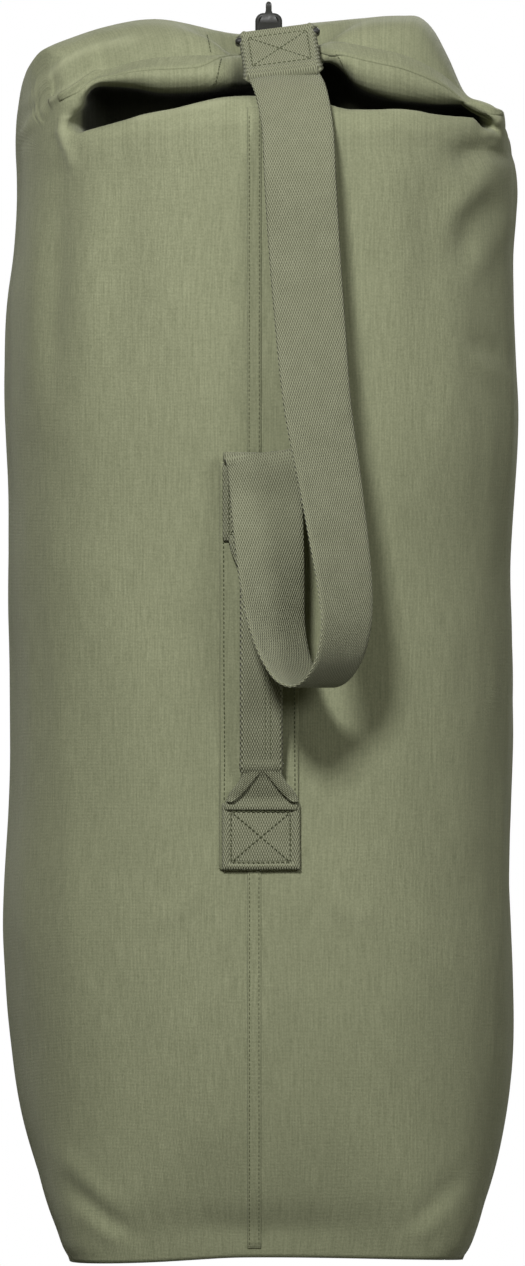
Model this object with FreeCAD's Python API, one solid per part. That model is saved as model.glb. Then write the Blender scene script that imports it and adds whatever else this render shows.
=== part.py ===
# Canvas duffel bag: a tube of canvas on a rounded-square base, its mouth folded
# over to the middle and held by a staple through three grommets.  A webbing
# shoulder strap runs from an anchor on the front up to a snap hook that is
# clipped through the staple, and a folded webbing handle sits behind it.
# Frame: X to the right, Y to the back, Z up, origin at the base's centre on the
# floor, millimetres.
import FreeCAD, Part
import math
import os

V = FreeCAD.Vector

# ---------------------------------------------------------------- sizes (mm)
base_side = 301.0        # side of the rounded-square base
body_width = 384.0       # widest point of the filled bag
body_depth = 392.0       # deepest point of the filled bag
tube_height = 822.0      # where the canvas tube ends and the folded mouth begins
canvas_t = 1.6           # one canvas wall with its hems pressed flat
base_t = 1.6             # one layer of the base
tape_height = 12.0       # seam allowance round the base
tape_t = 1.2

seam_width = 9.0         # felled seam up the front
seam_t = 1.0
seam_x = -5.5

strip_left, strip_right = -30.0, 26.0    # reinforcement strip's edges
strip_bottom, strip_top = 292.0, 590.0
strip_t = 1.6
web_width = 50.8         # two inch webbing
web_t = 2.2
anchor_t = 2.4
upper_anchor_height = 56.0
lower_anchor_height = 47.0
lower_anchor_width = 55.0

grip_width = 27.0        # handle webbing folded lengthwise
grip_t = 5.0
grip_low, grip_high = 361.0, 505.0
grip_bow = 21.0          # how far the grip stands off at its middle
spread_off = 6.0         # where the spread ends meet the grip

loop_z = 426.5           # lowest point of the strap's hanging loop

seat_gap = 0.3           # piece on piece, across bodies
edge_gap = 0.7           # between the strap's fold and its sewn anchor

mouth_x, mouth_y = 5.0, -95.0            # the staple, where the mouth is gathered
mouth_rise = 58.0        # lowest of the four gathered layers, above the tube's top
grommet_id = 22.0
grommet_od = 36.0
flange_t = 0.8
staple_wire = 4.5
staple_width = 20.0
staple_rise = 43.0       # top of the staple above its plate
plate_length, plate_width, plate_t = 44.0, 26.0, 1.5
rivet_r = 2.4

bail_wire = 5.0
bail_length = 63.0       # over the bail's ends
bail_reach = 19.0        # between its two long wires
tab_width, tab_height, tab_t = 51.6, 46.0, 9.0
hook_width = 15.5        # across the snap hook at its eye
nose_width = 4.4
neck_half = 4.2          # half the neck's depth between the eye and the hook
jaw_r = 9.5
jaw_slack = 2.0          # between the staple's top and the hook's inside
hook_t = 5.0
gate_t = 1.0
gate_width = 4.0
pin_r = 1.3
running_gap = 0.35

# ------------------------------------------------------------ the bag's shape
# How full the tube is at shares of its height: 0 is the base's outline, 1 is
# the full round body.
FULLNESS = [(0.0, 0.0), (0.03, 0.14), (0.06, 0.34), (0.09, 0.50), (0.12, 0.63),
            (0.16, 0.75), (0.22, 0.85), (0.30, 0.89), (0.44, 0.86), (0.56, 0.88),
            (0.66, 0.915), (0.74, 0.98), (0.82, 0.985), (0.90, 0.92), (1.0, 0.85)]


def curve(table, x):
    """Smooth curve through the table's points, flat-free cubic pieces."""
    if x <= table[0][0]:
        return table[0][1]
    if x >= table[-1][0]:
        return table[-1][1]
    i = 0
    while x > table[i + 1][0]:
        i += 1
    x0, y0 = table[i]
    x1, y1 = table[i + 1]
    m = (y1 - y0) / (x1 - x0)
    m0 = m if i == 0 else 0.5 * (m + (y0 - table[i - 1][1]) / (x0 - table[i - 1][0]))
    m1 = m if i + 2 >= len(table) else 0.5 * (m + (table[i + 2][1] - y1) / (table[i + 2][0] - x1))
    h = x1 - x0
    t = (x - x0) / h
    return ((2 * t ** 3 - 3 * t ** 2 + 1) * y0 + (t ** 3 - 2 * t ** 2 + t) * h * m0
            + (-2 * t ** 3 + 3 * t ** 2) * y1 + (t ** 3 - t ** 2) * h * m1)


def half_sizes(z):
    """Half width, half depth and superellipse exponent of the tube at height z."""
    r = curve(FULLNESS, z / tube_height)
    a = base_side / 2 + (body_width - base_side) / 2 * r
    b = base_side / 2 + (body_depth - base_side) / 2 * r
    return a, b, 2.15 + 3.85 * max(0.0, 1 - r) ** 2.2


def outline(z, angle, inset=0.0):
    """Point of the tube's outline at an angle from the front, to the right."""
    a, b, n = half_sizes(z)
    a, b = a - inset, b - inset
    s, c = math.sin(angle), math.cos(angle)
    r = (abs(s / a) ** n + abs(c / b) ** n) ** (-1.0 / n)
    return V(r * s, -r * c, z)


def front_y(x, z):
    a, b, n = half_sizes(z)
    return -b * (1 - abs(x / a) ** n) ** (1.0 / n)


def ring(z, inset=0.0, count=48, at=None):
    pts = [outline(z, 2 * math.pi * i / count, inset) for i in range(count)]
    if at is not None:
        pts = [V(p.x, p.y, at) for p in pts]
    c = Part.BSplineCurve()
    c.interpolate(pts, PeriodicFlag=True)
    return Part.Wire([c.toShape()])


def heights(low, high, step):
    n = max(2, int(round((high - low) / step)) + 1)
    return [low + (high - low) * i / (n - 1) for i in range(n)]


def lerp(a, b, t):
    return a + (b - a) * t


def resample(points, count):
    """Evenly spaced points along a smooth curve through the given ones."""
    s = [0.0]
    for a, b in zip(points, points[1:]):
        s.append(s[-1] + (b - a).Length)
    tables = [[(t, getattr(p, k)) for t, p in zip(s, points)] for k in "xyz"]
    return [V(*[curve(tb, s[-1] * i / (count - 1.0)) for tb in tables]) for i in range(count)]


def even(grid, count):
    columns = [resample([row[j] for row in grid], count) for j in range(len(grid[0]))]
    return [[c[i] for c in columns] for i in range(count)]


def solid_between(outer, inner):
    """Closed solid between two grids of points with the same number of rows."""
    s1, s2 = Part.BSplineSurface(), Part.BSplineSurface()
    s1.interpolate(outer)
    s2.interpolate(inner)
    u0, u1, v0, v1 = s1.bounds()
    p0, p1, q0, q1 = s2.bounds()
    faces = [s1.toShape(), s2.toShape(),
             Part.makeRuledSurface(s1.uIso(u0).toShape(), s2.uIso(p0).toShape()),
             Part.makeRuledSurface(s1.uIso(u1).toShape(), s2.uIso(p1).toShape()),
             Part.makeRuledSurface(s1.vIso(v0).toShape(), s2.vIso(q0).toShape()),
             Part.makeRuledSurface(s1.vIso(v1).toShape(), s2.vIso(q1).toShape())]
    shell = Part.makeShell(faces)
    shell.sewShape()
    solid = Part.makeSolid(shell)
    if solid.Volume < 0:
        solid.reverse()
    return solid


def sheet(grid, low, high):
    """Cloth between two distances from a grid of points, along its normals."""
    rows, cols = len(grid), len(grid[0])
    inner, outer = [], []
    for i in range(rows):
        ra, rb = [], []
        for j in range(cols):
            du = grid[i][min(cols - 1, j + 1)] - grid[i][max(0, j - 1)]
            dv = grid[min(rows - 1, i + 1)][j] - grid[max(0, i - 1)][j]
            n = du.cross(dv)
            n.normalize()
            ra.append(grid[i][j] + n * low)
            rb.append(grid[i][j] + n * high)
        inner.append(ra)
        outer.append(rb)
    return solid_between(outer, inner)


def on_front(x0, x1, z0, z1, low, high, nx=9, step=24.0):
    """Patch lying on the front of the tube, between two distances from it."""
    grid = []
    for z in heights(z0, z1, step):
        grid.append([V(lerp(x0, x1, i / (nx - 1)), front_y(lerp(x0, x1, i / (nx - 1)), z), z)
                     for i in range(nx)])
    return sheet(grid, low, high)


def rod(p, q, r):
    d = q - p
    return Part.makeCylinder(r, d.Length, p, d)


def save(shape, name):
    shape.exportStep("parts/%s.step" % name)


def loft(stations, width, thick):
    """Flat band: each station is (centre, direction of its width, its normal)."""
    wires = []
    for k, (c, w, n) in enumerate(stations):
        ww = width[k] if isinstance(width, list) else width
        a, b = w * (ww / 2), n * (thick / 2)
        pts = [c + a + b, c - a + b, c - a - b, c + a - b]
        wires.append(Part.makePolygon(pts + pts[:1]))
    return Part.makeLoft(wires, True, False)


os.makedirs("parts", exist_ok=True)

# --------------------------------------------------------------- base and tube
base = Part.Face(ring(base_t)).extrude(V(0, 0, -base_t))
save(base, "base_panel")
clear = 0.25
lining = Part.Face(ring(base_t, canvas_t + clear)).extrude(V(0, 0, base_t))
save(lining, "base_lining")

z_levels = [base_t] + heights(12.0, tube_height * 0.24, 16.0) + heights(tube_height * 0.24, tube_height, 42.0)[1:]
outer_rings = [ring(z) for z in z_levels]
inner_rings = [ring(z, canvas_t) for z in z_levels]
tube_outer = Part.makeLoft(outer_rings, True, False)
tube_inner = Part.makeLoft(inner_rings, True, False)
body_tube = tube_outer.cut(tube_inner)
save(body_tube, "body_tube")

tape_z0 = 2 * base_t + 0.1
tape = Part.Face(ring(tape_z0, canvas_t + clear)).extrude(V(0, 0, tape_height))
tape = tape.cut(Part.Face(ring(tape_z0, canvas_t + clear + tape_t)).extrude(V(0, 0, tape_height)))
save(tape, "base_seam_tape")

# ------------------------------------------------- seam, strip and sewn anchors
sunk = -0.8     # starts inside the wall and is cut flush with its outside
seam = on_front(seam_x - seam_width / 2, seam_x + seam_width / 2, 14.0,
                tube_height - 1.0, sunk, seam_t, 3, 30.0).cut(tube_outer)
save(seam, "felled_seam")
strip = on_front(strip_left, strip_right, strip_bottom, strip_top, sunk,
                 seam_t + strip_t).cut(tube_outer).cut(seam)
save(strip, "reinforcement_strip")

on_strip = seam_t + strip_t + seat_gap
strip_mid = (strip_left + strip_right) / 2
anchor_z0 = strip_top - upper_anchor_height
strap_anchor = on_front(strip_mid - web_width / 2, strip_mid + web_width / 2,
                        anchor_z0, strip_top, on_strip, on_strip + anchor_t)
save(strap_anchor, "strap_anchor")
low_anchor_z1 = strip_bottom + lower_anchor_height
handle_anchor = on_front(strip_mid + 1.5 - lower_anchor_width / 2, strip_mid + 1.5 + lower_anchor_width / 2,
                         strip_bottom, low_anchor_z1, on_strip, on_strip + anchor_t)
save(handle_anchor, "handle_anchor_lower")


def box_and_cross(place, x0, x1, z0, z1, off, w=1.1, t=0.6):
    """Four sides and two crossing diagonals of thread, each its own solid."""
    def band(xa, za, xb, zb, o):
        d = math.hypot(xb - xa, zb - za)
        px, pz = -(zb - za) / d * w / 2, (xb - xa) / d * w / 2
        grid = []
        for i in range(7):
            f = i / 6.0
            x, z = lerp(xa, xb, f), lerp(za, zb, f)
            grid.append([place(x + px, z + pz), place(x, z), place(x - px, z - pz)])
        s = sheet(grid, o, o + t)
        return s
    m = 2.0
    out = [band(x1, z0, x0, z0, off), band(x1, z1, x0, z1, off),
           band(x0, z1 - m, x0, z0 + m, off), band(x1, z1 - m, x1, z0 + m, off),
           band(x0 + m, z1 - m, x1 - m, z0 + m, off), band(x0 + m, z0 + m, x1 - m, z1 - m, off + t + 0.05)]
    return Part.makeCompound(out)


def front_point(x, z):
    return V(x, front_y(x, z), z)


stitch_off = on_strip + anchor_t + 0.15
inset = 5.0
save(box_and_cross(front_point, strip_mid - web_width / 2 + inset, strip_mid + web_width / 2 - inset,
                   anchor_z0 + inset, strip_top - inset, stitch_off), "strap_anchor_stitching")
save(box_and_cross(front_point, strip_mid + 1.5 - lower_anchor_width / 2 + inset,
                   strip_mid + 1.5 + lower_anchor_width / 2 - inset,
                   strip_bottom + inset, low_anchor_z1 - inset, stitch_off), "handle_anchor_stitching")

# -------------------------------------------------------------- carry handle
# The webbing leaves the lower anchor flat, narrows to the folded grip, bows out
# and goes back under the strap's anchor.
hx = strip_mid + 1.5


def handle_station(z, off):
    return (V(hx, front_y(hx, z) - off, z), V(1, 0, 0), V(0, -1, 0))


base_off = on_strip + anchor_t / 2
low_z = low_anchor_z1 + seat_gap + 0.2
mid_low = (low_z + grip_low) / 2
spread_low = loft([handle_station(low_z, base_off + 1.2), handle_station(mid_low, base_off + 2.2),
                   handle_station(grip_low - 0.5, spread_off + grip_t / 2)],
                  [lower_anchor_width - 4, (lower_anchor_width + grip_width) / 2, grip_width], anchor_t)
save(spread_low, "handle_spread_lower")
high_z = anchor_z0 - seat_gap - 0.2
spread_high = loft([handle_station(grip_high + 0.5, spread_off + grip_t / 2),
                    handle_station((grip_high + high_z) / 2, base_off + 2.2), handle_station(high_z, base_off + 1.2)],
                   [grip_width, (web_width + grip_width) / 2 - 4, web_width - 6], anchor_t)
save(spread_high, "handle_spread_upper")
grip_stations = []
for i in range(11):
    f = i / 10.0
    z = lerp(grip_low, grip_high, f)
    grip_stations.append(handle_station(z, spread_off + grip_t / 2 + grip_bow * math.sin(math.pi * f) ** 0.8 * 0.9))
save(loft(grip_stations, grip_width, grip_t), "handle_grip")

# ------------------------------------------------------------- folded mouth
rim_z = tube_height + seat_gap
mouth_z = tube_height + mouth_rise
# Heights and places of the folds along X, as shares of the half width and as
# millimetres above the tube's rim.
FRONT_CREST = [(-1.0, 12.0), (-0.72, 13.5), (-0.50, 24.0), (-0.07, 39.0), (0.25, 33.0),
               (0.38, 28.5), (0.55, 29.0), (0.72, 26.0), (0.86, 24.5), (1.0, 17.0)]
LIP_HEIGHT = [(-1.0, 20.0), (-0.90, 26.0), (-0.77, 43.0), (-0.66, 56.0), (-0.47, 67.0),
              (-0.09, 70.0), (0.03, 72.0), (0.20, 79.0), (0.44, 75.0), (0.58, 69.0),
              (0.72, 56.0), (0.82, 40.0), (1.0, 24.0)]
HOOD_HEIGHT = [(-1.0, 46.0), (-0.95, 59.0), (-0.80, 78.0), (-0.66, 92.0), (-0.52, 99.0),
               (-0.32, 95.0), (-0.09, 88.5), (0.10, 90.0), (0.32, 97.0), (0.51, 101.5),
               (0.65, 97.0), (0.72, 78.0), (0.81, 46.0), (1.0, 30.0)]
corner = math.radians(68.0)       # where the front flap ends and the back one begins
rim_half = half_sizes(tube_height)[0]
layer = 3.6                       # pitch of the gathered layers at the staple
layer_z = [mouth_z, mouth_z + 4.3, mouth_z + 4.3 + layer, mouth_z + 4.3 + 2 * layer]


def lip_y(x):
    f = min(1.0, abs(x) / rim_half)
    return outline(tube_height, corner).y - 4.0 - (half_sizes(tube_height)[1] - 66.0 - 75.0) * (1 - f * f)


def tongue(x):
    return math.exp(-((x - mouth_x) / 38.0) ** 4)


front_rows = [(0.0, 'rim', 0.0), (0.04, 'rim', 0.5), (0.14, 'rim', 0.88), (0.26, 'crest', 0.0), (0.42, 'crest', 0.45),
              (0.58, 'crest', 1.0), (0.74, 'lip', 0.22), (0.88, 'lip', 0.55), (0.97, 'lip', 0.86), (1.0, 'lip', 1.0)]
grid = []
cols = 27
for f, kind, g in front_rows:
    row = []
    for j in range(cols):
        s = -1 + 2.0 * j / (cols - 1)
        rim = outline(tube_height, s * corner)
        xe = s * rim_half * 0.985
        x = lerp(rim.x, xe, f)
        share = x / rim_half
        zf = rim_z + curve(FRONT_CREST, share)
        dv = 10.0 * (1 - s ** 4) + 0.6
        zv = zf - dv
        zl = rim_z + curve(LIP_HEIGHT, share)
        T = tongue(x)
        zl = lerp(zl, layer_z[3] + canvas_t / 2, T)
        y = lerp(rim.y, lip_y(x), f)
        if kind == 'rim':
            z = lerp(rim_z, zf, g)
        elif kind == 'crest':
            z = zf - dv * g
        else:
            z = lerp(zv, zl, g)
            if g == 1.0:
                y += 44.0 * T
            elif g > 0.8:
                y += 7.0 * T
                z = lerp(z, zl, T)
        row.append(V(x, y, z))
    grid.append(row)
front_flap = sheet(even(grid, 17), -canvas_t / 2, canvas_t / 2)

cols = 41
hood_rows = [0.0, 0.05, 0.12, 0.22, 0.34, 0.46, 0.58, 0.69, 0.79, 0.87, 0.93, 0.97, 1.0]
back_corner = corner + math.radians(0.8)
grid = []
for v in hood_rows:
    row = []
    for j in range(cols):
        u = j / (cols - 1.0)
        ang = -back_corner - u * (2 * math.pi - 2 * back_corner)
        rim = outline(tube_height, ang)
        xh = -rim_half * 0.985 * math.cos(math.pi * u) * (1 - 0.04 * math.sin(math.pi * u) ** 2)
        yh = lip_y(xh) + 4.2 + 9.0 * tongue(xh)
        zh = rim_z + curve(LIP_HEIGHT, xh / rim_half) - 5.0
        zh = lerp(zh, layer_z[2] + canvas_t / 2, tongue(xh))
        g = v ** 1.35
        x, y = lerp(rim.x, xh, g), lerp(rim.y, yh, g)
        base_line = lerp(rim_z, zh, v)
        zc = rim_z + curve(HOOD_HEIGHT, x / rim_half)
        w = max(0.0, math.sin(math.pi * min(1.0, v) ** 0.95)) ** (0.62 if v < 0.5 else 1.0)
        edge = 1 - math.exp(-(min(u, 1 - u) / 0.045) ** 2)
        z = base_line + max(0.0, zc - base_line) * w * edge
        r = math.hypot((x - mouth_x) / 1.5, y - mouth_y)
        z = lerp(z, layer_z[2] + canvas_t / 2, math.exp(-(r / 36.0) ** 4))
        row.append(V(x, y, z))
    grid.append(row)
back_flap = sheet(even(grid, 19), -canvas_t / 2, canvas_t / 2)


def tuck(x_out, x_in, z_out, z_in):
    """Side of the mouth folded in: flat at the staple, falling to the side."""
    g = []
    for i in range(9):
        f = i / 8.0
        row = []
        for j in range(7):
            h = j / 6.0
            x = lerp(x_out, x_in, f)
            y = lerp(lerp(-40.0, 62.0, h), lerp(mouth_y - 22.0, mouth_y + 30.0, h), f ** 1.4)
            fall = max(0.0, (abs(x - mouth_x) - 24.0)) / (abs(x_out - mouth_x) - 24.0)
            z = lerp(z_in, z_out, min(1.0, fall) ** 1.5) + canvas_t / 2
            row.append(V(x, y, z))
        g.append(row)
    return sheet(g, -canvas_t / 2, canvas_t / 2)


tuck_left = tuck(-150.0, mouth_x + 21.0, mouth_z - 24.0, layer_z[0])
tuck_right = tuck(126.0, mouth_x - 21.0, mouth_z - 24.0, layer_z[1])

# ------------------------------------------------------ staple and grommets
here = V(mouth_x, mouth_y, 0)
hole = Part.makeCylinder(grommet_id / 2 + flange_t, 60.0, here + V(0, 0, layer_z[1] - 1.5), V(0, 0, 1))
front_flap = front_flap.cut(hole)
back_flap = back_flap.cut(hole)
tuck_right = tuck_right.cut(hole)
save(front_flap, "mouth_front_flap")
save(back_flap, "mouth_back_flap")

for name, k in (("side", 1), ("back", 2), ("front", 3)):
    z = layer_z[k]
    barrel = Part.makeCylinder(grommet_id / 2 + flange_t, canvas_t + flange_t, here + V(0, 0, z), V(0, 0, 1))
    top = Part.makeCylinder(grommet_od / 2, flange_t, here + V(0, 0, z + canvas_t), V(0, 0, 1))
    eye = Part.makeCylinder(grommet_id / 2, 20.0, here + V(0, 0, z - 5), V(0, 0, 1))
    save(barrel.fuse(top).cut(eye).removeSplitter(), "grommet_%s" % name)
    washer = Part.makeCylinder(grommet_od / 2, flange_t, here + V(0, 0, z - flange_t), V(0, 0, 1))
    save(washer.cut(eye), "grommet_washer_%s" % name)

plate_z = layer_z[0] + canvas_t
arch_r = staple_width / 2 - staple_wire / 2
arch_top = plate_z + staple_rise - staple_wire / 2
rivets = []
plate = Part.makeBox(plate_length, plate_width, plate_t, here + V(-plate_length / 2, -plate_width / 2, plate_z))
backing = Part.makeBox(plate_length, plate_width, plate_t,
                       here + V(-plate_length / 2, -plate_width / 2, layer_z[0] - plate_t))
for sx in (-1, 1):
    p = here + V(sx * (plate_length / 2 - 5.0), 0, layer_z[0] - plate_t - 1.0)
    bore = Part.makeCylinder(rivet_r, 30.0, p, V(0, 0, 1))
    plate, backing, tuck_left = plate.cut(bore), backing.cut(bore), tuck_left.cut(bore)
    shank = Part.makeCylinder(rivet_r, canvas_t + 2 * plate_t + 1.0, p, V(0, 0, 1))
    head = Part.makeCylinder(rivet_r + 1.6, 1.0, p, V(0, 0, 1))
    rivets.append(shank.fuse(head).removeSplitter())
leg_l = rod(here + V(-arch_r, 0, plate_z), here + V(-arch_r, 0, arch_top - 4.0), staple_wire / 2)
leg_r = rod(here + V(arch_r, 0, plate_z), here + V(arch_r, 0, arch_top - 4.0), staple_wire / 2)
for leg in (leg_l, leg_r):
    plate = plate.cut(leg)
bend = 4.0
top_bar = rod(here + V(-arch_r + bend, 0, arch_top), here + V(arch_r - bend, 0, arch_top), staple_wire / 2)
bends = []
for sx in (-1, 1):
    c = here + V(sx * (arch_r - bend), 0, arch_top - bend)
    t = Part.makeTorus(bend, staple_wire / 2, c, V(0, 1, 0))
    corner_box = Part.makeBox(20, 20, 20, c + V(0 if sx > 0 else -20, -10, 0))
    bends.append(t.common(corner_box))
staple = leg_l.fuse([leg_r, top_bar] + bends).removeSplitter()
save(staple, "staple_loop")
save(plate, "staple_plate")
save(backing, "staple_backing")
save(Part.makeCompound(rivets), "staple_rivets")
save(tuck_left, "mouth_tuck_left")
save(tuck_right, "mouth_tuck_right")

# ------------------------------------------------------------ shoulder strap
# Stations from the sewn anchor round the loop and up to the tab: height, X,
# distance in front of the bag, and how far the width is turned about Z.  The
# front run's heights are shares of the way from the loop's bottom to the mouth.
fold_z = strip_top + edge_gap
top_off = on_strip + anchor_t / 2
tab_mid = V(mouth_x + 8.5, mouth_y - 54.0, mouth_z + 13.0)
REAR_RUN = [(fold_z, strip_mid, top_off, 0.0), (fold_z + 5.0, strip_mid, top_off + 1.5, 0.0),
            (fold_z + 6.5, strip_mid, top_off + 6.0, 0.0), (fold_z + 3.0, strip_mid + 1.5, top_off + 11.0, 0.0),
            (565.0, 3.0, 22.0, 3.0), (530.0, 5.5, 33.5, 9.0), (497.0, 8.0, 38.5, 18.0),
            (468.0, 11.5, 42.0, 30.0), (446.0, 18.0, 48.0, 42.0), (431.0, 27.0, 54.5, 48.0),
            (loop_z, 36.5, 61.0, 52.0)]
FRONT_RUN = [(0.0099, 46.5, 68.0, 51.0), (0.043, 56.0, 74.5, 49.0), (0.0959, 61.5, 76.5, 46.0),
             (0.1621, 60.5, 73.0, 40.0), (0.2392, 56.0, 66.0, 34.0), (0.3275, 50.0, 57.0, 28.0),
             (0.4487, 41.0, 47.5, 20.0), (0.581, 35.5, 38.0, 12.0), (0.7133, 31.0, 31.0, 6.0),
             (0.8236, 28.0, 25.5, 3.0)]
centres = []
turns = []
for z, x, off, turn in REAR_RUN + [(lerp(loop_z, mouth_z, f), x, off, turn) for f, x, off, turn in FRONT_RUN]:
    centres.append(V(x, front_y(0.0, min(z, tube_height)) - off, z))
    turns.append(math.radians(turn))
tab_dir = V(-5.0, 33.0, 33.5)
tab_dir.normalize()
tab_w = V(1.0, 0.0, 0.11)
tab_w = tab_w - tab_dir * tab_w.dot(tab_dir)
tab_w.normalize()
tab_n = tab_w.cross(tab_dir)
tab_n.normalize()
if tab_n.y > 0:
    tab_n = tab_n * -1
tab_low = tab_mid - tab_dir * (tab_height / 2)
strap_end = tab_low - tab_dir * 0.1
centres += [V(26.0, strap_end.y - 33.0, strap_end.z - 38.0), V(20.8, strap_end.y - 14.5, strap_end.z - 11.0), strap_end]
turns += [math.radians(2.0), 0.0, 0.0]
stations = []
for i, c in enumerate(centres):
    t = centres[min(len(centres) - 1, i + 1)] - centres[max(0, i - 1)]
    t.normalize()
    w = V(math.cos(turns[i]), math.sin(turns[i]), 0)
    if i >= len(centres) - 2:
        w = tab_w
        t = tab_dir
    w = w - t * w.dot(t)
    w.normalize()
    n = w.cross(t)
    n.normalize()
    if i == 0:
        n, w = V(0, -1, 0), V(1, 0, 0)
    stations.append((c, w, n))
for i in range(1, len(stations)):      # keep the faces on one side along the band
    c, w, n = stations[i]
    if n.dot(stations[i - 1][2]) < 0:
        stations[i] = (c, w, n * -1)
save(loft(stations, web_width, web_t), "strap_webbing")

bail_front = tab_mid + tab_dir * (tab_height / 2 - tab_t / 2)
tab_pts = []
for a, b in ((-1, -1), (1, -1), (1, 1), (-1, 1)):
    tab_pts.append(tab_low + tab_w * (a * tab_width / 2) + tab_n * (b * tab_t / 2))
tab = Part.Face(Part.makePolygon(tab_pts + tab_pts[:1])).extrude(tab_dir * tab_height)
bail_half = bail_length / 2 - bail_wire / 2
bail_bore = rod(bail_front - tab_w * 60, bail_front + tab_w * 60, bail_wire / 2 + 0.2)
tab = tab.cut(bail_bore)
save(tab, "strap_tab")


def tab_point(x, z):
    return tab_low + tab_w * x + tab_dir * z + tab_n * (tab_t / 2)


save(box_and_cross(tab_point, -tab_width / 2 + inset, tab_width / 2 - inset, inset,
                   tab_height - inset - 4.0, 0.05), "strap_tab_stitching")

# bail: two long wires and two short ones, closed
bail_back_dir = V(0, 0.995, -0.05)
bail_back_dir.normalize()
b0 = bail_front
b1 = b0 + bail_back_dir * bail_reach
c = [b0 - tab_w * bail_half, b0 + tab_w * bail_half, b1 + tab_w * bail_half, b1 - tab_w * bail_half]
bail = rod(c[0], c[1], bail_wire / 2)
for k in range(4):
    if k:
        bail = bail.fuse(rod(c[k], c[(k + 1) % 4], bail_wire / 2))
    bail = bail.fuse(Part.makeSphere(bail_wire / 2, c[k]))
save(bail.removeSplitter(), "strap_bail")

# ------------------------------------------------------------------ snap hook
# A cast hook, drawn in the YZ plane: the eye runs on the bail's back wire, and
# the hook turns over the staple's top bar down to its nose.  Seen from the
# front it is a dome that narrows to the thin nose.
eye_c = b1 + tab_w * ((mouth_x - b1.x) / tab_w.x)
eye_bore = bail_wire / 2 + running_gap
jaw_y, jaw_z = mouth_y, arch_top + staple_wire / 2 + jaw_slack - jaw_r
side = mouth_x - hook_width / 2


def disc(y, z, r):
    return Part.makeCylinder(r, hook_width, V(side, y, z), V(1, 0, 0))


nose_drop = 3.0
blank = disc(jaw_y, jaw_z, jaw_r + hook_t)
below = Part.makeBox(hook_width, 60.0, 60.0, V(side, jaw_y, jaw_z - nose_drop - 60.0))
pin = V(mouth_x, jaw_y - jaw_r - 3.2, jaw_z - 7.6)
blank = blank.cut(below)
blank = blank.cut(Part.makeBox(hook_width, 60.0, 60.0, V(side, jaw_y - 40.0, pin.z - 60.0)))
root = V(side, jaw_y - jaw_r - hook_t / 2, jaw_z - 3.0)
start = V(side, eye_c.y, eye_c.z)
across_neck = (root - start).cross(V(1, 0, 0))
across_neck.normalize()
neck_pts = [start + across_neck * neck_half, root + across_neck * neck_half, root - across_neck * neck_half,
            start - across_neck * neck_half]
neck = Part.Face(Part.makePolygon(neck_pts + neck_pts[:1])).extrude(V(hook_width, 0, 0))
lug = disc(pin.y, pin.z, pin_r + 2.4)
blank = blank.fuse([neck, disc(eye_c.y, eye_c.z, eye_bore + 3.2), lug])
blank = blank.cut(disc(jaw_y, jaw_z, jaw_r))
e_d, e_p = V(0, 0.70710678, 0.70710678), V(0, -0.70710678, 0.70710678)
taper = []
for d, share in ((-30.0, 1.0), (11.0, 1.0), (14.0, 0.9), (16.0, 0.72), (19.0, 0.38), (21.0, 0.1), (23.0, 0.0),
                 (60.0, 0.0)):
    taper.append((d, lerp(nose_width, hook_width, share) / 2))
loop_pts = [eye_c + e_d * d + V(w, 0, 0) - e_p * 60 for d, w in taper]
loop_pts += [eye_c + e_d * d - V(w, 0, 0) - e_p * 60 for d, w in reversed(taper)]
blank = blank.common(Part.Face(Part.makePolygon(loop_pts + loop_pts[:1])).extrude(e_p * 120))
hook = blank.cut(rod(eye_c - tab_w * 40, eye_c + tab_w * 40, eye_bore))
hook = hook.fuse(Part.makeSphere(1.9, V(mouth_x, jaw_y - 1.0, jaw_z + jaw_r + hook_t - 0.4)))
slot = Part.makeBox(gate_width + 2 * running_gap, 30.0, 14.0,
                    V(mouth_x - gate_width / 2 - running_gap, pin.y - pin_r - 1.5, pin.z - 9.0))
slot = slot.common(Part.makeBox(60, 12.0, 60, V(mouth_x - 30, pin.y - pin_r - 1.5, pin.z - 30)))
hook = hook.cut(slot)
hook = hook.cut(rod(pin - V(20, 0, 0), pin + V(20, 0, 0), pin_r))
save(hook.removeSplitter(), "hook_body")
# the gate: a thin tongue from a pin in the shank to the inside of the nose
half_pin = gate_width / 2 + 3.0
save(rod(pin - V(half_pin, 0, 0), pin + V(half_pin, 0, 0), pin_r), "gate_rivet")
knuckle = rod(pin - V(gate_width / 2, 0, 0), pin + V(gate_width / 2, 0, 0), pin_r + 1.1)
tip = V(mouth_x, jaw_y + math.sqrt(jaw_r ** 2 - nose_drop ** 2) - 0.9, jaw_z - nose_drop + 0.2)


def across(at, ang, width, thick):
    """Rectangle across a line in the YZ plane."""
    n = V(0, -math.sin(ang), math.cos(ang))
    pts = [at + V(a * width / 2, 0, 0) + n * (b * thick / 2) for a, b in ((-1, -1), (1, -1), (1, 1), (-1, 1))]
    return Part.makePolygon(pts + pts[:1])


gate_ang = math.atan2(tip.z - pin.z, tip.y - pin.y)
wires = [across(pin + V(0, math.cos(gate_ang), math.sin(gate_ang)), gate_ang, gate_width, gate_t),
         across(tip, gate_ang, gate_width * 0.9, gate_t)]
gate = Part.makeLoft(wires, True, True).fuse(knuckle)
gate = gate.cut(rod(pin - V(20, 0, 0), pin + V(20, 0, 0), pin_r + 0.15))
save(gate.removeSplitter(), "gate_tongue")
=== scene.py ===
# %% [markdown]
# # A filled canvas duffel bag
# The bag is one tube of olive cotton duck on a square base. Its mouth is folded to
# the middle and held by a snap hook. The CAD frame gives the metal parts and the
# places; the cloth is worked out here as surfaces on grids.

# %% Load the frame
import math
import numpy as np
import bpy
import bmesh
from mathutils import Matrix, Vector
from mathutils.bvhtree import BVHTree


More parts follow.
